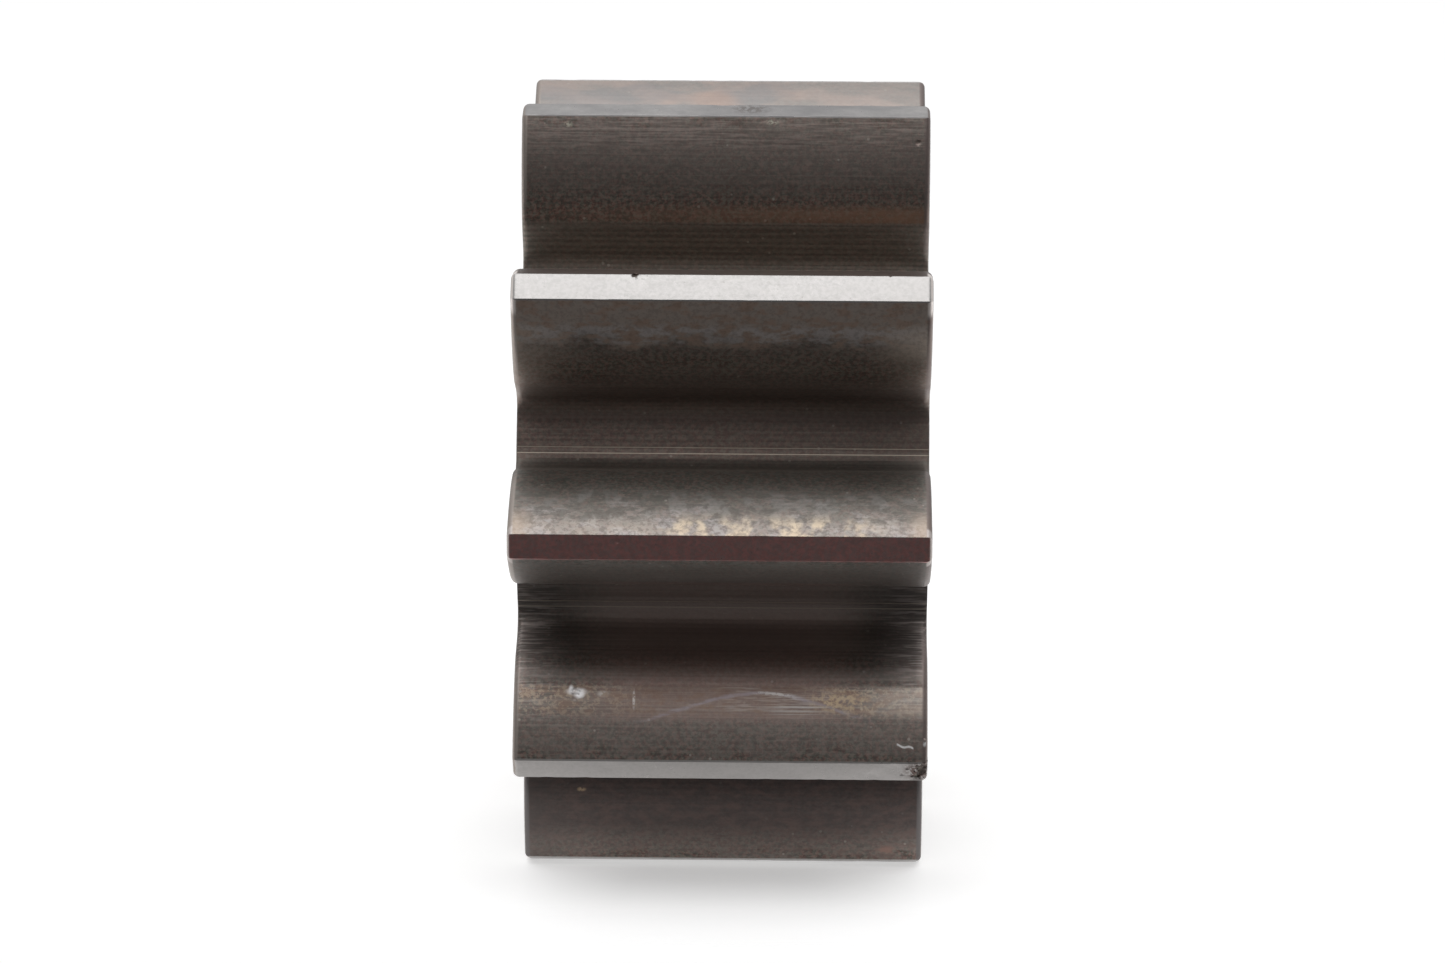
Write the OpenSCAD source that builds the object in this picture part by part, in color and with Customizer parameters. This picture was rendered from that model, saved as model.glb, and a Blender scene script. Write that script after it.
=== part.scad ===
// Oil pump idler gear: ten coarse straight teeth cut right across a thick steel blank, on a plain bore.
// Sizes are in millimetres. The origin is the middle of the bore, which runs along Y, and one tooth
// points along +X. The gear stands on the tips of its two lowest teeth.

/* [Teeth] */
// Number of teeth
teeth = 10; // [9:1:14]
// Diameter over the tips of the teeth, which sets the size of a tooth. At 50.8 with ten teeth, there
// are six teeth for each inch of pitch diameter.
outside_d = 50.8; // [42:0.1:60]
// Pressure angle of the flanks, in degrees
pressure_angle = 25; // [20:0.5:27]
// Height of a tooth above the pitch circle, in modules
addendum = 1; // [0.8:0.01:1.02]
// Depth of a tooth space below the pitch circle, in modules
dedendum = 1.25; // [1.15:0.01:1.35]
// Thickness taken off each tooth at the pitch circle, so that a pair runs with backlash
thinning = 0.12; // [0:0.01:0.3]
// Radius of the round between a flank and the root
root_fillet = 1.4; // [0.6:0.05:1.6]

/* [Blank] */
// Width of the gear along its bore
face_w = 25.4; // [12:0.1:40]
// Radius of the rounded edge at both ends of every tooth
end_round = 0.4; // [0.1:0.05:0.6]

/* [Bore] */
// Diameter of the running bore
bore_d = 15.9; // [8:0.05:18]
// Width of the chamfer at each mouth of the bore
bore_chamfer = 0.6; // [0.1:0.05:1]

/* [Hidden] */

DEGREES = 180 / PI;
// Pieces that a curve is drawn with
FLANK_STEPS = 8;
FILLET_STEPS = 5;
END_STEPS = 3;
// Points on one side of a tooth, and on a whole tooth with the middle of its tip and of the root
SIDE_POINTS = FLANK_STEPS + 1 + FILLET_STEPS + 1;
TOOTH_POINTS = 2 * SIDE_POINTS + 2;
// Crowds the points of a flank towards the base circle, where it bends most
FLANK_CROWDING = 1.5;
// A cut runs this far past the face that it opens
PAST = 1;

gear_module = outside_d / (teeth + 2 * addendum);
pitch_r = teeth * gear_module / 2;
base_r = pitch_r * cos(pressure_angle);
tip_r = outside_d / 2;
root_r = pitch_r - dedendum * gear_module;
half_pitch = 180 / teeth;

// Middle of a root round, from which the round runs down from the flank to the root circle
fillet_r = root_r + root_fillet;
fillet_angle = flank_angle(base_r, 0) + asin(root_fillet / fillet_r);

function polar(r, a) = [r * cos(a), r * sin(a)];

// Angle from the start of an involute to its point at a radius
function involute_angle(r) =
    let (a = acos(base_r / r))
    tan(a) * DEGREES - a;

// Half the angle of a tooth at a radius. A flank that moves inwards by an inset turns about the axis.
function flank_angle(r, inset) =
    half_pitch / 2
    + (involute_angle(pitch_r) - involute_angle(r))
    - (thinning / 2 / pitch_r + inset / base_r) * DEGREES;

// One side of a tooth: the involute from the tip to the base circle, then straight on into the root
// round, where the inset fades out
function tooth_side(inset) =
    let (top_r = tip_r - inset, rise = top_r - base_r)
    concat(
        [for (i = [FLANK_STEPS:-1:0])
            let (r = base_r + rise * pow(i / FLANK_STEPS, FLANK_CROWDING))
            polar(r, flank_angle(r, inset))],
        [for (i = [0:FILLET_STEPS])
            let (t = i / FILLET_STEPS, turn = fillet_angle - 90 - t * 90)
            polar(fillet_r, fillet_angle) + polar(root_fillet + inset * (1 - t), turn)]
    );

// One tooth from the middle of the root before it to the end of the root round after it
function tooth(inset) =
    let (side = tooth_side(inset), last = len(side) - 1)
    concat(
        [polar(root_r, -half_pitch)],
        [for (i = [last:-1:0]) [side[i].x, -side[i].y]],
        [[tip_r - inset, 0]],
        side
    );

function turned(p, a) = [p.x * cos(a) - p.y * sin(a), p.x * sin(a) + p.y * cos(a)];

// The whole outline at one height, as a ring of points
function ring(inset, z) = [
    for (k = [0:teeth - 1], p = tooth(inset))
    let (q = turned(p, k * 2 * half_pitch))
    [q.x, q.y, z]
];

// Faces of one end, as places in a ring: strips across each tooth from tip to root, then the round
// middle that the teeth stand on
function end_faces() = concat(
    [
        for (k = [0:teeth - 1])
        let (left = k * TOOTH_POINTS + SIDE_POINTS, tip = left + 1, right = left + 2)
        each concat(
            [[left, tip, right]],
            [for (j = [0:SIDE_POINTS - 2]) [left - j - 1, left - j, right + j, right + j + 1]]
        )
    ],
    [[
        for (k = [0:teeth - 1])
        let (start = k * TOOTH_POINTS)
        each [start, start + 1, start + TOOTH_POINTS - 1]
    ]]
);

function moved(face, places) = [for (i = face) i + places];

function flipped(face) = [for (i = [len(face) - 1:-1:0]) face[i]];

// Toothed blank: rings of the outline, which draw in over the rounded edge at each end
module toothed_blank() {
    rounds = [for (i = [0:END_STEPS]) 90 * i / END_STEPS];
    upper = [for (a = rounds) [end_round * (1 - cos(a)), face_w / 2 - end_round * (1 - sin(a))]];
    lower = [for (i = [END_STEPS:-1:0]) [upper[i][0], -upper[i][1]]];
    levels = concat(lower, upper);
    count = teeth * TOOTH_POINTS;
    top = len(levels) - 1;
    sides = [
        for (k = [0:top - 1], i = [0:count - 1])
        let (j = (i + 1) % count)
        moved([i, count + i, count + j, j], k * count)
    ];
    under = end_faces();
    over = [for (face = under) moved(flipped(face), top * count)];
    polyhedron(
        points = [for (level = levels) each ring(level[0], level[1])],
        faces = concat(sides, under, over),
        convexity = 6
    );
}

// Running bore with a chamfer at each mouth
module bore_cut() {
    cylinder(d = bore_d, h = face_w + 2 * PAST, center = true, $fn = 96);
    for (side = [0, 1])
        mirror([0, 0, side])
            translate([0, 0, face_w / 2 - bore_chamfer])
                cylinder(
                    r1 = bore_d / 2,
                    r2 = bore_d / 2 + bore_chamfer + PAST,
                    h = bore_chamfer + PAST,
                    $fn = 96
                );
}

module idler_gear() {
    color([0.36, 0.32, 0.29])
        rotate([-90, 0, 0])
            difference() {
                toothed_blank();
                bore_cut();
            }
}

idler_gear();
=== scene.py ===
import math

import bmesh
import bpy
from mathutils import Matrix, Vector, noise


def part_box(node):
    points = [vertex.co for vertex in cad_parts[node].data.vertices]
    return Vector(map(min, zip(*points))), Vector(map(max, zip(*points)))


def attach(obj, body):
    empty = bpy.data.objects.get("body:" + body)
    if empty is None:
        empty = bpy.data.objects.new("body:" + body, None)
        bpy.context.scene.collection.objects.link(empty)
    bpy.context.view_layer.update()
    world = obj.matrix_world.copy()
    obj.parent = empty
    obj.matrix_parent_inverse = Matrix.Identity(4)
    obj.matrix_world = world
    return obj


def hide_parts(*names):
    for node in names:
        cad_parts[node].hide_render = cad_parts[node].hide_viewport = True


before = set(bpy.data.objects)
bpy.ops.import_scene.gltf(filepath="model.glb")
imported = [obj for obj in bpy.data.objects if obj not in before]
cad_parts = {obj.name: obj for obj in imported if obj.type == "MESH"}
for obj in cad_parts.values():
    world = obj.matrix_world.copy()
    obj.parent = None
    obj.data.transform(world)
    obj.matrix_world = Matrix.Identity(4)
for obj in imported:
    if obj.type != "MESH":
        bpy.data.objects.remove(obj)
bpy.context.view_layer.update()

# Idler gear
# One thick blank of hardened steel, turned and bored, with ten straight teeth cut right across it. The
# flanks are involutes that turn into round roots, and tumbling has rounded the ends of the teeth.
MM = 0.001
TEETH = 10
PITCH = 2 * math.pi / TEETH
box_low, box_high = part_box("idler_gear")
tip_r = box_high[0]
half_width = box_high[1]
module = tip_r / (TEETH / 2 + 1)
pitch_r = TEETH * module / 2
PRESSURE_ANGLE = math.radians(25)
DEDENDUM = 1.25
base_r = pitch_r * math.cos(PRESSURE_ANGLE)
root_r = pitch_r - DEDENDUM * module
root_fillet = 1.4 * MM
end_round = 0.4 * MM
bore_r = 7.95 * MM
bore_chamfer = 0.6 * MM
# Taken off each tooth's thickness for backlash. Two teeth came out of the cutter a hair off.
THINNING = {0: 0.19 * MM, 1: 0.04 * MM}
EVEN_THINNING = 0.12 * MM
# Steps that the curves of the outline and of the blank are drawn with
LAND_STEPS = 3
FLANK_STEPS = 24
FILLET_STEPS = 10
END_STEPS = 5
WIDTH_STEPS = 60
# Crowds the points of a flank towards the base circle, where it bends most
FLANK_CROWDING = 1.5


def involute_angle(r):
    """Angle from the start of the involute to its point at a radius."""
    a = math.acos(min(1, base_r / r))
    return math.tan(a) - a


def flank_angle(r, inset, tooth):
    """Half the angle of a tooth at a radius, with its flank moved inwards by an inset."""
    thinning = THINNING.get(tooth, EVEN_THINNING)
    roll = involute_angle(pitch_r) - involute_angle(r)
    return PITCH / 4 + roll - thinning / 2 / pitch_r - inset / base_r


def tooth_side(inset, tooth):
    """One side of a tooth from the middle of its tip to the middle of the root, as radius and angle."""
    top_r = tip_r - inset
    land = flank_angle(top_r, inset, tooth)
    points = [(top_r, land * i / LAND_STEPS) for i in range(LAND_STEPS)]
    for i in range(FLANK_STEPS + 1):
        r = base_r + (top_r - base_r) * (1 - i / FLANK_STEPS) ** FLANK_CROWDING
        points.append((r, flank_angle(r, inset, tooth)))
    foot = flank_angle(base_r, 0, tooth)
    fillet_r = root_r + root_fillet
    fillet_angle = foot + math.asin(root_fillet / fillet_r)
    centre = Vector((fillet_r * math.cos(fillet_angle), fillet_r * math.sin(fillet_angle)))
    steps = []
    for i in range(FILLET_STEPS + 1):
        t = i / FILLET_STEPS
        turn = fillet_angle - (1 + t) * math.pi / 2
        reach = root_fillet + inset * (1 - t)
        spot = centre + reach * Vector((math.cos(turn), math.sin(turn)))
        steps.append((spot.length, math.atan2(spot.y, spot.x)))
    last, first = points[-1], steps[0]
    for t in (1 / 3, 2 / 3):
        points.append((last[0] + (first[0] - last[0]) * t, last[1] + (first[1] - last[1]) * t))
    points += steps
    end = points[-1][1]
    points += [(root_r, end + (PITCH / 2 - end) * t) for t in (0.5, 1)]
    return points


def outline(inset):
    """The whole outline of the gear round the bore, as (x, z)."""
    ring = []
    for tooth in range(TEETH):
        side = tooth_side(inset, tooth)
        whole_tooth = [(r, -a) for r, a in side[:0:-1]] + side[:-1]
        for r, a in whole_tooth:
            turn = a + tooth * PITCH
            ring.append((r * math.cos(turn), r * math.sin(turn)))
    return ring


def stations():
    """(place along the bore, inset) of each ring, close together over the rounded ends."""
    rounds = [math.pi / 2 * i / END_STEPS for i in range(END_STEPS + 1)]
    end = [(half_width - end_round * (1 - math.sin(a)), end_round * (1 - math.cos(a))) for a in rounds]
    near_end = [(-y, inset) for y, inset in reversed(end)]
    low, high = near_end[-1][0], end[0][0]
    middle = [(low + (high - low) * i / WIDTH_STEPS, 0) for i in range(1, WIDTH_STEPS)]
    return near_end + middle + end


gear = bmesh.new()
place = gear.verts.layers.int.new("place")
rows = stations()
first_ring = []
for i, (x, z) in enumerate(outline(rows[0][1])):
    corner = gear.verts.new((x, rows[0][0], z))
    corner[place] = i
    first_ring.append(corner)
edges = [gear.edges.new((first_ring[i - 1], first_ring[i])) for i in range(len(first_ring))]
for y, inset in rows[1:]:
    made = bmesh.ops.extrude_edge_only(gear, edges=edges)["geom"]
    ring = outline(inset)
    edges = [e for e in made if isinstance(e, bmesh.types.BMEdge)]
    for corner in (v for v in made if isinstance(v, bmesh.types.BMVert)):
        x, z = ring[corner[place]]
        corner.co = (x, y, z)
    edges = [e for e in edges if all(abs(v.co.y - y) < 1e-7 for v in e.verts)]

# Corners between the ground tips and the flanks, broken by a hair
SHARP = math.radians(20)
CORNER_BREAK = 0.012 * MM
corners = []
for e in gear.edges:
    a, b = e.verts
    if len(e.link_faces) == 2 and abs(a.co.y - b.co.y) > 1e-6 and e.calc_face_angle() > SHARP:
        if a.co.xz.length > tip_r - end_round * 1.1:
            corners.append(e)
bmesh.ops.bevel(
    gear, geom=corners, offset=CORNER_BREAK, segments=2, profile=0.5, affect="EDGES", material=-1
)

# End faces with the bore and its chamfers
BORE_STEPS = 160
mouth_r = bore_r + bore_chamfer
for side in (-1, 1):
    outer_edges = [e for e in gear.edges if e.is_boundary and e.verts[0].co.y * side > 0]
    placed = Matrix.Translation((0, half_width * side, 0)) @ Matrix.Rotation(math.pi / 2, 4, "X")
    mouth = bmesh.ops.create_circle(gear, segments=BORE_STEPS, radius=mouth_r, matrix=placed)["verts"]
    mouth_edges = list({e for v in mouth for e in v.link_edges})
    bmesh.ops.triangle_fill(gear, use_beauty=True, use_dissolve=False, edges=outer_edges + mouth_edges)
    lip = bmesh.ops.extrude_edge_only(gear, edges=mouth_edges)["geom"]
    lip = [v for v in lip if isinstance(v, bmesh.types.BMVert)]
    for v in lip:
        v.co = Vector((v.co.x, 0, v.co.z)) * (bore_r / mouth_r)
        v.co.y = (half_width - bore_chamfer) * side
walls = [e for e in gear.edges if e.is_boundary]
bmesh.ops.bridge_loops(gear, edges=walls)
bmesh.ops.remove_doubles(gear, verts=gear.verts, dist=1e-7)
bmesh.ops.recalc_face_normals(gear, faces=gear.faces)


def polar(r, degrees, y):
    """A point by its radius and angle round the bore and its place along it, in millimetres."""
    a = math.radians(degrees)
    return Vector((r * math.cos(a), y, r * math.sin(a))) * MM


def dent(at, size, depth, push):
    """Knocks the surface in round a point, along push in millimetres, after making its faces finer."""
    reach = Vector(size) * MM

    def away(v):
        return Vector([d / r for d, r in zip(v.co - at, reach)]).length

    for finest in (0.16, 0.08, 0.05):
        near = {e for v in gear.verts if away(v) < 1.3 for e in v.link_edges}
        near = [e for e in near if e.calc_length() > finest * MM]
        bmesh.ops.subdivide_edges(gear, edges=near, cuts=1, use_grid_fill=True)
    for v in gear.verts:
        far = away(v) * (1 + 0.6 * noise.noise(v.co * 5000))
        if far < 1:
            v.co += Vector(push) * MM * depth * (1 - far * far)


# Nicks on the upper edge of the bright tip, and a crushed corner low on the right with pits beside it
dent(polar(25.4, 38.3, -5.2), (0.35, 0.24, 0.45), 0.34, (-0.8, 0, -0.4))
dent(polar(25.4, 37.6, -4.8), (0.2, 0.3, 0.2), 0.05, (-0.8, 0, -0.4))
dent(polar(25.4, 38.4, 10.1), (0.28, 0.2, 0.3), 0.22, (-0.8, 0, -0.4))
dent(polar(25.4, -35.6, 12.4), (0.5, 0.42, 0.6), 0.3, (-0.7, -0.4, 0.4))
dent(polar(25.4, -36.9, 12.0), (0.3, 0.3, 0.25), 0.16, (-0.8, 0, 0.5))
dent(polar(25.4, -35.0, 11.5), (0.2, 0.2, 0.2), 0.07, (-0.8, 0, 0.5))
dent(polar(25.4, -36.6, 11.1), (0.16, 0.2, 0.16), 0.06, (-0.8, 0, 0.5))
# A burr that stands up from the rounded end, a chip below it and scratches on single flanks
dent(polar(24.3, -32.2, 12.55), (0.16, 0.2, 0.16), 0.12, (0.6, 0.6, 0.4))
dent(polar(21.9, -28.1, -8.9), (0.2, 0.4, 0.25), 0.05, (-1, 0, -0.2))
dent(polar(24.1, 67.8, 11.95), (0.2, 0.2, 0.2), 0.05, (-1, 0, -0.3))
dent(polar(25.4, 0.8, -6.1), (0.2, 0.25, 0.2), 0.04, (-1, 0, 0))

# Tips worn unevenly by the pump's housing
TIP_WEAR = 0.1 * MM
for v in gear.verts:
    r = v.co.xz.length
    if tip_r - 0.35 * MM < r:
        worn = max(0, noise.noise(v.co * 900) - 0.25) + 0.4 * max(0, noise.noise(v.co * 3100) - 0.3)
        v.co -= Vector((v.co.x, 0, v.co.z)) / r * worn * TIP_WEAR

# The end faces are flat, the rest is smooth, and the corners along the tips stay sharp
CREASE = math.radians(12)
for f in gear.faces:
    f.smooth = abs(f.normal.y) < 0.9999
for e in gear.edges:
    if len(e.link_faces) == 2:
        a, b = e.verts
        corner = abs(a.co.y - b.co.y) > 1e-6 and e.calc_face_angle() > CREASE
        e.smooth = e.link_faces[0].smooth == e.link_faces[1].smooth and not corner
mesh = bpy.data.meshes.new("idler_gear_steel")
gear.to_mesh(mesh)
gear.free()
steel_gear = bpy.data.objects.new("idler_gear_steel", mesh)
bpy.context.scene.collection.objects.link(steel_gear)
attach(steel_gear, "root")
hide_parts("idler_gear")


# Finish of the idler gear
# Hardened steel, dark from oil and heat, with cutter lines along the teeth that are strongest in the
# roots. The tips are ground bright. Where the mating teeth ran, the flanks are worn paler.
class Value:
    """A value in a material. Sums on it add Math nodes, and node() adds any other node."""

    def __init__(self, tree, socket=None):
        self.tree = tree
        self.socket = socket

    def node(self, kind, settings=None, inputs=None, output=0):
        made = self.tree.nodes.new(kind)
        for name, setting in (settings or {}).items():
            setattr(made, name, setting)
        for name, value in (inputs or {}).items():
            if isinstance(value, Value):
                self.tree.links.new(value.socket, made.inputs[name])
            else:
                made.inputs[name].default_value = value
        return Value(self.tree, made.outputs[output] if len(made.outputs) else None)

    def math(self, operation, *others):
        values = dict(enumerate((self, *others)))
        return self.node("ShaderNodeMath", {"operation": operation}, values)

    def __add__(self, other):
        return self.math("ADD", other)

    def __sub__(self, other):
        return self.math("SUBTRACT", other)

    def __mul__(self, other):
        return self.math("MULTIPLY", other)

    def __rsub__(self, other):
        return self * -1 + other

    __radd__ = __add__
    __rmul__ = __mul__

    def step(self, low, high):
        """0 below low, 1 above high, smooth between them."""
        return self.node(
            "ShaderNodeMapRange",
            {"interpolation_type": "SMOOTHSTEP"},
            {"Value": self, "From Min": low, "From Max": high},
        )

    def band(self, low, rise, fall, high):
        """0 outside low and high, 1 between rise and fall."""
        return self.step(low, rise) * (1 - self.step(fall, high))

    def noise(self, where, scale, detail=2.0, roughness=0.5):
        inputs = {"Vector": where, "Scale": scale, "Detail": detail, "Roughness": roughness}
        return self.node("ShaderNodeTexNoise", None, inputs)

    def blend(self, factor, under, over):
        """A colour that goes from under to over as the factor goes from 0 to 1."""
        inputs = {"Factor": factor, "A": under, "B": over}
        made = self.node("ShaderNodeMix", {"data_type": "RGBA"})
        for name, value in inputs.items():
            wanted = "VALUE" if name == "Factor" else "RGBA"
            socket = next(s for s in made.socket.node.inputs if s.name == name and s.type == wanted)
            if isinstance(value, Value):
                self.tree.links.new(value.socket, socket)
            else:
                socket.default_value = (*value, 1) if wanted == "RGBA" else value
        socket = next(s for s in made.socket.node.outputs if s.type == "RGBA")
        return Value(self.tree, socket)


steel = bpy.data.materials.new("pump_gear_steel")
steel.use_nodes = True
steel.node_tree.nodes.clear()
start = Value(steel.node_tree)
spot = start.node("ShaderNodeTexCoord", output=3)
spot = start.node("ShaderNodeVectorMath", {"operation": "SCALE"}, {0: spot, "Scale": 1000})
apart = start.node("ShaderNodeSeparateXYZ", None, {"Vector": spot})
x = apart
y = Value(steel.node_tree, apart.socket.node.outputs[1])
z = Value(steel.node_tree, apart.socket.node.outputs[2])
radius = (x * x + z * z).math("SQRT")
outward = y.math("ABSOLUTE")
angle = z.math("ARCTAN2", x) * math.degrees(1)


def stretched(across, along):
    """The place on the gear in millimetres, scaled across and along the teeth."""
    return start.node("ShaderNodeCombineXYZ", None, {"X": x * across, "Y": y * along, "Z": z * across})


def patch(at, size):
    """1 at a point given by radius, angle and place along the bore, and 0 past a size (x, y, z)."""
    centre = polar(*at) / MM
    off = start.node("ShaderNodeVectorMath", {"operation": "SUBTRACT"}, {0: spot, 1: centre})
    off = start.node("ShaderNodeVectorMath", {"operation": "DIVIDE"}, {0: off, 1: size})
    length = start.node("ShaderNodeVectorMath", {"operation": "LENGTH"}, {0: off}, output=1)
    return 1 - length.step(0.2, 1)


def between(low, high, soft=1.0):
    """1 between two angles round the bore."""
    return angle.band(low - soft, low, high, high + soft)


# Angle from the middle of a tooth to the next one, and a measure that rises along a tooth's whole side
space = (angle + 360).math("MODULO", math.degrees(PITCH))
profile = radius + (space - math.degrees(PITCH) / 2).math("ABSOLUTE") * 0.28

# Patterns: cutter lines along the teeth, grain of the steel, and clouds of oil and wear
hair_lines = start.noise(stretched(7.5, 0.03), 1.0, 2, 0.6)
broad_lines = start.noise(stretched(2.2, 0.04), 1.0, 2, 0.6)
scratches = start.noise(stretched(7, 0.5), 1.0, 2, 0.6)
FEED = 0.44
feed_lines = (profile * (math.tau / FEED) + broad_lines * 9).math("SINE") * 0.5 + 0.5
tint = start.noise(spot, 4.2, 2, 0.6)
grain = start.noise(stretched(5, 4), 1.0, 2, 0.65)
pits = start.noise(stretched(4.2, 3.4), 1.0, 3, 0.7)
smudge = start.noise(stretched(0.5, 0.22), 1.0, 3, 0.55)
film = start.noise(stretched(0.9, 0.45), 1.0, 4, 0.6)
blotch = start.noise(stretched(2.0, 0.9), 1.0, 3, 0.6)
drift = start.noise(stretched(0.6, 0.28), 1.0, 0.6, 0.5)
clots = start.noise(stretched(0.7, 0.75), 1.0, 2, 0.6)
dust = start.node("ShaderNodeTexVoronoi", None, {"Vector": spot, "Scale": 0.8})
dust = 1 - dust.step(0.05, 0.09)
wave = film - 0.5

# Places on the gear: ground tips, roots, and the rounded ends of the teeth. The front tip is ground a
# little short of its upper corner.
tip, end, wall = tip_r / MM, half_width / MM, bore_r / MM
land = radius.step(tip - 0.11, tip - 0.05) * (1 - angle.band(1.62, 1.65, 3, 4))
rootward = 1 - radius.step(19.5, 19.75)
rim = outward.step(end - 0.42, end - 0.28) * (radius + y.step(0, 1) * 3).step(19, 22)

# Dark steel under a thin film of oil
dark = start.blend(smudge.step(0.35, 0.68), (0.185, 0.15, 0.132), (0.238, 0.203, 0.182))
freckled = start.blend(tint.step(0.44, 0.58), (0.155, 0.172, 0.142), (0.29, 0.162, 0.135))
dark = start.blend(0.7, dark, freckled)
dark = start.blend(pits.step(0.46, 0.62) * 0.62, dark, (0.075, 0.06, 0.055))
dark = start.blend((1 - pits.step(0.38, 0.52)) * 0.42, dark, (0.4, 0.335, 0.29))
dark = start.blend(rootward * 0.3, dark, (0.22, 0.19, 0.165))
quiet = 1 - angle.band(2, 6, 28, 32) * 0.6
dark = start.blend(feed_lines * (0.1 + rootward * 0.22) * quiet, dark, (0.34, 0.29, 0.25))
dark = start.blend((1 - feed_lines) * (0.1 + rootward * 0.2) * quiet, dark, (0.09, 0.075, 0.065))
dark = start.blend(hair_lines.step(0.5, 0.7) * (0.3 - rootward * 0.12), dark, (0.36, 0.3, 0.255))
worn = (radius + wave * 3).band(21.0, 23.0, 24.9, 25.3) * (blotch * 0.6 + 0.1)
flank = start.blend(worn, dark, (0.31, 0.27, 0.248))
flank = start.blend(dust * 0.6, flank, (0.6, 0.56, 0.5))

# Sides of the teeth that single marks are on, from the top one down
top = between(100, 107)
upper = between(60, 71)
bright = between(26, 34)
front = between(1.5, 12)
under = between(-14, -1.5)
lower = between(-34, -25)
lowest = between(-71, -58)

# Shapes of those marks
rust_line = radius.band(19.6, 19.75, 20.3, 21.0) * (y * 0.05 + 0.6)
stain = (radius + (drift - 0.5) * 1.8 + (blotch - 0.5) * 1.6 + wave * 1.2).step(22.75, 23.45)
rubbed = (radius + wave * 3.5 + (blotch - 0.5) * 3.2 + (pits - 0.5) * 2.4).step(22.0, 25.1)
silvery = radius.band(22.8, 23.1, 23.7, 24.3) * (1 - blotch.step(0.4, 0.54))
beige_ends = radius.band(21.5, 22.6, 23.3, 24.5) * outward.step(8, 12.3) * (y * 0.02 + 0.55)
ring_of_wear = radius.band(22.0, 22.8, 24.4, 25.0)
# Cream near the front tip's edge: paler wear, with a painted highlight in the same colour
cream_wear_and_highlight = radius.step(23.8, 24.8) * clots.step(0.42, 0.64) * (1 - pits.step(0.45, 0.7) * 0.6)
cream_wear_and_highlight = cream_wear_and_highlight * (y.band(-4, -2, 8, 10) * 0.6 + 0.12)
palest_wear_and_highlight = radius.step(24.2, 24.8) * clots.step(0.42, 0.6) * (1 - pits.step(0.4, 0.6) * 0.7)
palest_wear_and_highlight = palest_wear_and_highlight * y.band(-4, -2, 7, 9)
# Painted shade low on the front tooth's upper flank, stronger towards the ends
foot = between(1, 14) * (1 - radius.step(21.5, 23)) * (outward.step(6, 12) * 0.15 + 0.15)
# Painted shade at both ends of the hollow below the front tooth
painted_shade_hollow_ends = between(-27.6, -2, 0.4) * outward.step(6, 12) * (1 - radius.step(20, 21.4) * 0.5)
painted_shade_hollow_ends = painted_shade_hollow_ends * (y.step(0, 8) * 0.25 + 0.55)
streaked = between(-30, -12) * (1 - radius.step(18.8, 20.4)) * (1 - scratches.step(0.4, 0.52))
lower_foot = between(-34, -20) * radius.band(20.0, 20.8, 20.9, 21.4)
brassy = patch((22.35, -28.8, 7.4), (1.2, 2.6, 1.0)) * (0.3 + blotch) * (1 - pits.step(0.42, 0.6))
arc = (y - 2.5) * (y - 2.5)
arc = radius - 21.44 - (arc + 2.2).math("SQRT") * 0.27 + wave * 0.5
arc = (1 - arc.math("ABSOLUTE").step(0.02, 0.16)) * y.band(-6, -3, 7, 10)
scored = radius.band(21.4, 21.65, 22.8, 23.4)

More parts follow.
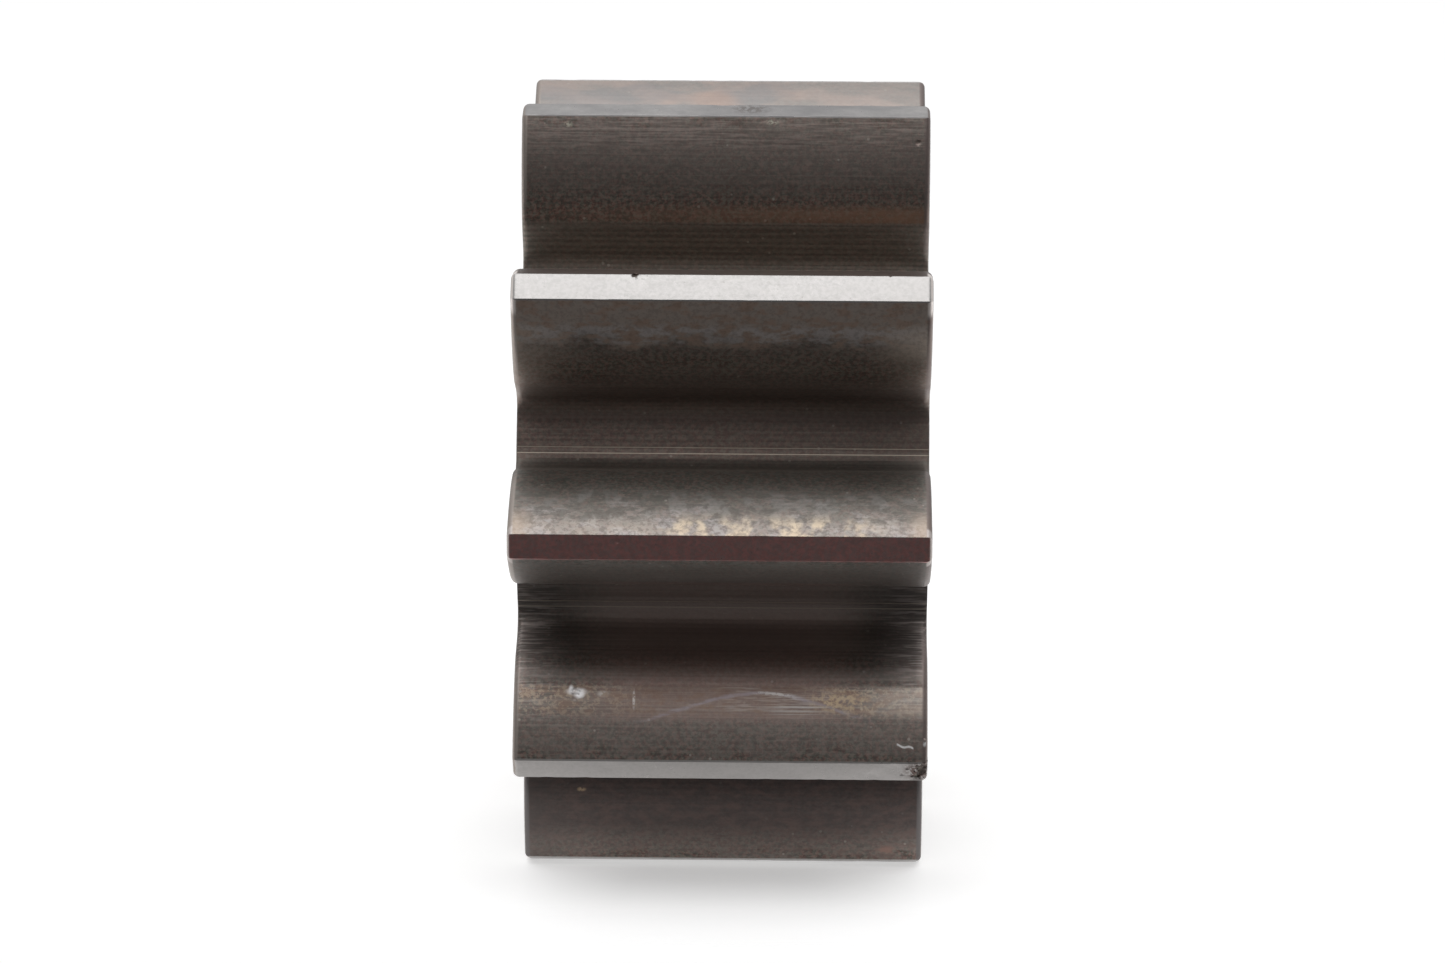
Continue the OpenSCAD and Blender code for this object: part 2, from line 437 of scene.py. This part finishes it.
# Marks that use has left on single teeth, as (strength, colour)
marks = [
    # Top tooth: pale, clouded brown and grey
    (top * 0.75, (0.33, 0.31, 0.296)),
    (top * drift.step(0.4, 0.6) * 0.4, (0.45, 0.36, 0.325)),
    (top * blotch.step(0.42, 0.66) * 0.2, (0.44, 0.36, 0.325)),
    (top * (1 - smudge.step(0.4, 0.56)) * 0.4, (0.24, 0.245, 0.255)),
    (top * drift.step(0.45, 0.65) * y.band(-5, -2, 3, 6) * 0.35, (0.45, 0.3, 0.23)),
    # Second tooth: painted shade over most of its flank, scratched below its tip, with a line of rust above
    # the root
    (upper * radius.step(20.5, 22) * 0.35, (0.12, 0.098, 0.088)),
    (upper * blotch.step(0.42, 0.6) * 0.25, (0.13, 0.1, 0.09)),
    (upper * radius.step(23.3, 24.2) * scratches.step(0.48, 0.64) * 0.28, (0.4, 0.33, 0.3)),
    (upper * radius.step(23.3, 24.2) * (1 - scratches.step(0.36, 0.5)) * 0.28, (0.1, 0.08, 0.07)),
    (upper * rust_line * (0.15 + blotch * 0.7) * (0.5 + pits), (0.36, 0.22, 0.15)),
    (between(52, 66) * rootward * 0.15, (0.34, 0.32, 0.27)),
    # Third tooth: burnt above its bright tip, and stained below it as far as a tide line
    (between(37.9, 46, 0.3) * radius.step(20, 23) * 0.8, (0.08, 0.055, 0.047)),
    (bright * stain * 0.8, (0.49, 0.415, 0.37)),
    (bright * stain * blotch.step(0.46, 0.62) * 0.5, (0.42, 0.265, 0.19)),
    (bright * silvery * 0.6, (0.6, 0.565, 0.57)),
    (bright * beige_ends, (0.7, 0.6, 0.52)),
    (bright * pits.step(0.48, 0.6) * 0.2, (0.13, 0.09, 0.075)),
    (bright * (1 - stain) * radius.step(20.5, 21.5) * 0.15, (0.12, 0.105, 0.095)),
    (bright * (1 - radius.step(22, 23)) * outward.step(8, 12.4) * 0.4, (0.38, 0.31, 0.26)),
    (between(22, 32) * (1 - radius.step(19.5, 21.5)) * 0.4, (0.36, 0.28, 0.25)),
    # Painted light that lifts the shade deep in the hollow below the bright tip
    (bright * (1 - radius.step(21, 22)) * (1 - outward.step(4, 9)) * 0.2, (0.36, 0.32, 0.3)),
    (between(4, 22) * rootward * 0.35, (0.2, 0.13, 0.115)),
    (between(4, 24) * (1 - radius.step(20, 22)) * y.step(-2, 10) * 0.35, (0.11, 0.09, 0.08)),
    # Tooth in front: rubbed pale towards its tip, with cream along the edge that is paler wear under a
    # painted highlight, and painted shade at its foot
    (front * rubbed * 0.62, (0.4, 0.362, 0.338)),
    (front * rubbed * film.step(0.5, 0.62) * 0.35, (0.5, 0.48, 0.49)),
    (front * ring_of_wear * blotch.step(0.47, 0.57) * 0.62, (0.14, 0.135, 0.12)),
    (front * ring_of_wear * clots.step(0.5, 0.6) * 0.4, (0.42, 0.4, 0.385)),
    (front * rubbed * pits.step(0.46, 0.6) * 0.45, (0.14, 0.115, 0.1)),
    # Paler wear under a painted highlight along the edge
    (front * cream_wear_and_highlight, (0.64, 0.52, 0.39)),
    (front * palest_wear_and_highlight * 0.5, (0.74, 0.62, 0.46)),
    (front * radius.step(23.4, 24.6) * outward.step(10.8, 12.2) * 0.4, (0.6, 0.47, 0.37)),
    (front * (1 - rubbed) * 0.35, (0.14, 0.148, 0.13)),
    # Painted shade at the foot of the front tooth
    (foot, (0.06, 0.058, 0.052)),
    # The hollow below it: dark in the middle, with painted shade and streaks at both ends
    (under * radius.step(22.5, 25) * 0.35, (0.24, 0.245, 0.23)),
    (under * (1 - radius.step(23, 24.5)) * (0.55 - outward.step(5, 11) * 0.3), (0.36, 0.33, 0.31)),
    (painted_shade_hollow_ends, (0.1, 0.085, 0.08)),
    (between(-30, -8) * (1 - outward.step(5, 10)) * 0.55, (0.4, 0.28, 0.25)),
    (between(-22, -8) * rootward * 0.28, (0.4, 0.35, 0.325)),
    (between(-26, -20) * (1 - radius.step(18, 19.4)) * (1 - outward.step(6, 11)) * 0.45, (0.5, 0.42, 0.39)),
    (streaked * outward.step(8, 12) * 0.6, (0.09, 0.08, 0.075)),
    (between(-30, -12) * outward.step(9, 12) * scratches.step(0.5, 0.62) * 0.4, (0.52, 0.46, 0.44)),
    # Lower tooth: a scored band with rust, brass colour, a curved line, a chip and small knocks
    (lower * 0.15, (0.13, 0.105, 0.1)),
    (lower_foot * (outward.step(3, 8) * 0.25 + 0.1), (0.38, 0.33, 0.305)),
    (lower * scored * feed_lines * 0.15, (0.4, 0.34, 0.3)),
    (lower * scored * hair_lines.step(0.48, 0.58) * 0.3, (0.44, 0.4, 0.36)),
    (lower * scored * blotch.step(0.44, 0.6) * 0.5, (0.32, 0.2, 0.14)),
    (lower * scored * (1 - pits.step(0.4, 0.5)) * (0.1 + outward.step(3, 8) * 0.45), (0.5, 0.41, 0.31)),
    (lower * radius.band(21.3, 21.6, 22.1, 22.6) * (1 - outward.step(4, 7)) * 0.4, (0.19, 0.12, 0.1)),
    (lower * scored * y.step(-12, -9) * (1 - y.step(4, 9)) * 0.3, (0.17, 0.13, 0.11)),
    (patch((22.6, -29.2, 5.2), (0.7, 3.0, 0.7)) * 0.45, (0.2, 0.165, 0.155)),
    (lower * scored * scratches.step(0.52, 0.64) * y.band(-1, 1, 6, 8) * 0.35, (0.48, 0.43, 0.4)),
    (lower * scored * y.step(7.5, 12) * (0.4 + scratches * 0.6) * 0.55, (0.62, 0.56, 0.51)),
    (lower * arc * (1 - scratches.step(0.5, 0.6) * 0.7) * 0.36, (0.43, 0.41, 0.48)),
    (lower * arc * y.band(1.8, 2.6, 3.8, 5) * pits.step(0.4, 0.52) * 0.6, (0.7, 0.67, 0.65)),
    (brassy, (0.5, 0.385, 0.26)),
    (patch((22.7, -29.3, 4.6), (0.9, 2.6, 0.9)) * hair_lines.step(0.47, 0.54) * 0.55, (0.58, 0.55, 0.53)),
    (patch((21.9, -28.12, -8.8), (0.34, 0.85, 0.34)) * (grain * 1.6).math("MINIMUM", 1), (1.0, 0.98, 0.99)),
    (patch((22.06, -28.38, -8.65), (0.36, 0.45, 0.36)) * pits.step(0.3, 0.42), (0.97, 0.95, 0.96)),
    (patch((21.75, -27.95, -9.15), (0.36, 0.2, 0.36)) * 0.9, (0.95, 0.93, 0.94)),
    (patch((22.3, -28.8, -5.3), (0.8, 0.12, 0.9)) * pits.step(0.38, 0.5) * 0.7, (0.75, 0.72, 0.7)),
    (patch((22.0, -28.4, -7.2), (0.3, 0.5, 0.3)) * pits.step(0.42, 0.5) * 0.5, (0.7, 0.66, 0.62)),
    # Lowest tooth: darkened as painted shade except near its tip, browner in clouds
    (lowest * (0.88 - radius.step(23, 25) * 0.7), (0.085, 0.068, 0.066)),
    (lowest * blotch.step(0.4, 0.7) * 0.3, (0.22, 0.14, 0.12)),
    (lowest * (1 - y.step(-12.6, -9)) * 0.5, (0.1, 0.085, 0.08)),
    # Specks on the lowest and the second tooth
    (patch((21.35, -63.4, -9.0), (0.3, 0.4, 0.2)) * grain.step(0.35, 0.5), (0.5, 0.36, 0.24)),
    (patch((24.8, -69, 10.4), (0.6, 0.9, 0.5)) * blotch.step(0.4, 0.6) * 0.7, (0.36, 0.22, 0.18)),
    (patch((24.94, 69.3, -9.8), (0.4, 0.4, 0.25)) * grain.step(0.45, 0.52) * 0.7, (0.5, 0.49, 0.4)),
    (patch((25.1, 69.6, 2.85), (0.4, 0.6, 0.25)) * grain.step(0.45, 0.52) * 0.7, (0.5, 0.49, 0.4)),
]
for strength, colour in marks:
    flank = start.blend(strength, flank, colour)
# Two bright lines that the cutter's corners leave in every tooth space
for degrees in (13.87, 15.2):
    line = (1 - (space - degrees).math("ABSOLUTE").step(0.03, 0.15)) * (1 - radius.step(16.6, 17))
    flank = start.blend(line * (0.3 + broad_lines * 0.6), flank, (0.7, 0.61, 0.5))
# A curl of swarf that was pressed into the flank, as a thin wavy line
curl = radius - 24.6 - (y * 8).math("SINE") * 0.04 - (y - 11.3) * 0.14
curl = (1 - curl.math("ABSOLUTE").step(0.02, 0.08)) * y.band(10.75, 10.85, 11.75, 11.85)
flank = start.blend(lower * curl, flank, (0.95, 0.93, 0.93))
# Rounded ends of the teeth, paler on the left, with painted highlights where they meet the front tip and
# the bright tip
rim_colour = start.blend(y.step(-1, 1), (0.4, 0.35, 0.32), (0.2, 0.16, 0.15))
rim_colour = start.blend(lowest, rim_colour, (0.16, 0.15, 0.15))
flank = start.blend(rim * 0.8, flank, rim_colour)
flank = start.blend(patch((24.45, -32.5, 12.5), (0.22, 0.16, 0.22)) * 0.9, flank, (0.85, 0.84, 0.84))
# Painted highlights on the rounded ends next to the front tip and the bright tip
flank = start.blend(rim * radius.step(24.8, 25.0) * between(-3, 6) * 0.85, flank, (0.6, 0.545, 0.52))
flank = start.blend(rim * radius.step(24.3, 24.8) * between(33, 42) * 0.9, flank, (0.95, 0.88, 0.84))

# Ground tips, each with its own tint, the front one tinted red-brown and darkened as painted shade, and
# turned ends
ground = start.blend(grain.step(0.36, 0.64), (0.42, 0.41, 0.4), (0.475, 0.459, 0.453))
ground = start.blend(blotch.step(0.35, 0.65) * 0.35, ground, (0.5, 0.482, 0.47))
ground = start.blend(pits.step(0.62, 0.75) * 0.4, ground, (0.2, 0.18, 0.17))
# The front tip: red-brown, darkened as painted shade
red_tint_and_painted_shade = start.blend(tint.step(0.4, 0.6), (0.45, 0.27, 0.26), (0.56, 0.255, 0.24))
red_tint_and_painted_shade = start.blend(pits.step(0.4, 0.62) * 0.4, red_tint_and_painted_shade, (0.34, 0.18, 0.17))
ground = start.blend(between(-5, 5) * 0.9, ground, red_tint_and_painted_shade)
dulled = 0.55 + y.band(-4, 2, 6, 12) * 0.35 + wave * 1.5
ground = start.blend(between(67, 77) * dulled, ground, (0.28, 0.272, 0.275))
bruise = patch((25.4, 72.4, 1.5), (1.0, 1.7, 1.0)) * pits.step(0.45, 0.52) * 0.75
ground = start.blend(bruise, ground, (0.15, 0.13, 0.12))
ground = start.blend(between(-41, -31) * 0.3, ground, (0.5, 0.46, 0.44))
knocked = patch((25.4, -35.8, 12.2), (1.2, 1.3, 1.2)) * pits.step(0.42, 0.5)
ground = start.blend(knocked, ground, (0.13, 0.09, 0.08))
surface = start.blend(land, flank, ground)
end_face = outward.step(end - 0.08, end - 0.01)
round_the_bore = start.node("ShaderNodeCombineXYZ", None, {"X": radius * 7, "Y": angle * 0.02, "Z": y})
turned = start.noise(round_the_bore, 1.0, 2, 0.6)
faced = start.blend(turned.step(0.35, 0.7), (0.34, 0.325, 0.31), (0.5, 0.48, 0.46))
faced = start.blend(film.step(0.5, 0.7) * 0.5, faced, (0.28, 0.24, 0.21))
surface = start.blend(end_face, surface, faced)
honed = 1 - radius.step(wall + 0.45, wall + 0.65)
round_the_wall = start.node("ShaderNodeCombineXYZ", None, {"X": angle * 0.03, "Y": y * 6, "Z": 0})
hone_lines = start.noise(round_the_wall, 1.0, 2, 0.6)
bored = start.blend(hone_lines.step(0.35, 0.65), (0.4, 0.385, 0.37), (0.56, 0.54, 0.52))
surface = start.blend(honed, surface, bored)

bare = (land + end_face + honed).math("MINIMUM", 1)
metal = 0.72 + 0.25 * bare
roughness = 0.42 + 0.2 * (tint - 0.5) + 0.12 * (smudge - 0.5) - 0.1 * bare + 0.08 * rootward
height = feed_lines * (0.15 + rootward * 0.35) + hair_lines * 0.3 + tint * 0.3 + pits * 0.25
height = height + turned * end_face * 0.5 + hone_lines * honed * 0.5
RELIEF = 0.03 * MM
bump = start.node("ShaderNodeBump", None, {"Strength": 0.35, "Distance": RELIEF, "Height": height})
shader = start.node(
    "ShaderNodeBsdfPrincipled",
    None,
    {"Base Color": surface, "Metallic": metal, "Roughness": roughness, "Normal": bump},
)
start.node("ShaderNodeOutputMaterial", None, {"Surface": shader})
mesh.materials.append(steel)

# Table top
# A wide pale sheet that the gear stands on. It runs out softly in front, below the camera.
HALF_TABLE = 1.0
under_tips = Matrix.Translation((0, 0, box_low[2]))
table = bmesh.new()
bmesh.ops.create_grid(table, x_segments=1, y_segments=1, size=HALF_TABLE, matrix=under_tips)
floor_mesh = bpy.data.meshes.new("table_top")
table.to_mesh(floor_mesh)
table.free()
floor = bpy.data.objects.new("table_top", floor_mesh)
bpy.context.scene.collection.objects.link(floor)
paper = bpy.data.materials.new("pale_table")
paper.use_nodes = True
paper.node_tree.nodes.clear()
sheet = Value(paper.node_tree)
camera_ray = sheet.node("ShaderNodeLightPath")
glossy_ray = Value(paper.node_tree, camera_ray.socket.node.outputs["Is Glossy Ray"])
clear_ray = Value(paper.node_tree, camera_ray.socket.node.outputs["Is Transmission Ray"])
seen = camera_ray.math("MAXIMUM", glossy_ray).math("MAXIMUM", clear_ray)
matt = sheet.node("ShaderNodeBsdfDiffuse", None, {"Color": (0.9, 0.9, 0.9, 1)})
whiter = sheet.node("ShaderNodeEmission", None, {"Color": (1, 1, 1, 1), "Strength": seen * 0.42})
pale_sheet = sheet.node("ShaderNodeAddShader", None, {0: matt, 1: whiter})
nothing = sheet.node("ShaderNodeBsdfTransparent")
sheet_spot = sheet.node("ShaderNodeTexCoord", output=3)
forward = sheet.node("ShaderNodeSeparateXYZ", None, {"Vector": sheet_spot})
faded = forward.step(10 * MM, 34 * MM)
faded = sheet.node("ShaderNodeMixShader", None, {"Fac": faded, 1: pale_sheet, 2: nothing})
sheet.node("ShaderNodeOutputMaterial", None, {"Surface": faded})
floor_mesh.materials.append(paper)

# Studio
# A broad soft lamp above and a little in front, and a pale room that is darker on the camera's side.
room = bpy.data.worlds.new("studio")
bpy.context.scene.world = room
room.use_nodes = True
room.node_tree.nodes.clear()
air = Value(room.node_tree)
camera_ray = air.node("ShaderNodeLightPath")
way = air.node("ShaderNodeTexCoord", output=0)
ahead = air.node("ShaderNodeSeparateXYZ", None, {"Vector": way})
above = Value(room.node_tree, ahead.socket.node.outputs[2])
behind = 1 - ahead.step(-0.35, 0.35)
light = 0.12 + behind * 0.45 + above.step(0.1, 0.9) * 0.35
light = light * (1 - camera_ray) + camera_ray
pale_room = air.node("ShaderNodeBackground", None, {"Color": (1, 1, 1, 1), "Strength": light})
air.node("ShaderNodeOutputWorld", None, {"Surface": pale_room})

LAMP_ELEVATION = math.radians(70)
LAMP_DISTANCE = 0.42
lamp_data = bpy.data.lights.new("softbox", "AREA")
lamp_data.shape = "RECTANGLE"
lamp_data.size = 0.6
lamp_data.size_y = 0.42
lamp_data.energy = 1.05
lamp = bpy.data.objects.new("softbox", lamp_data)
bpy.context.scene.collection.objects.link(lamp)
aim = Vector((math.cos(LAMP_ELEVATION), 0, math.sin(LAMP_ELEVATION)))
lamp.location = aim * LAMP_DISTANCE
lamp.rotation_euler = aim.to_track_quat("Z", "Y").to_euler()

# Camera
# A long lens a foot away, square to the rim and a little above the bore, as in the photograph.
eye = bpy.data.cameras.new("camera")
eye.sensor_width = 36
eye.lens = 115.8
camera = bpy.data.objects.new("camera", eye)
bpy.context.scene.collection.objects.link(camera)
CAMERA_DISTANCE = 0.3017
TARGET = Vector((0, -0.28, -0.93)) * MM
azimuth, elevation, roll = (math.radians(a) for a in (1.03, 11.06, 0.255))
out = Vector(
    (
        math.cos(elevation) * math.cos(azimuth),
        math.cos(elevation) * math.sin(azimuth),
        math.sin(elevation),
    )
)
look = out.to_track_quat("Z", "Y") @ Matrix.Rotation(roll, 4, "Z").to_quaternion()
camera.location = TARGET + out * CAMERA_DISTANCE
camera.rotation_euler = look.to_euler()
bpy.context.scene.camera = camera
bpy.context.scene.view_settings.view_transform = "Standard"
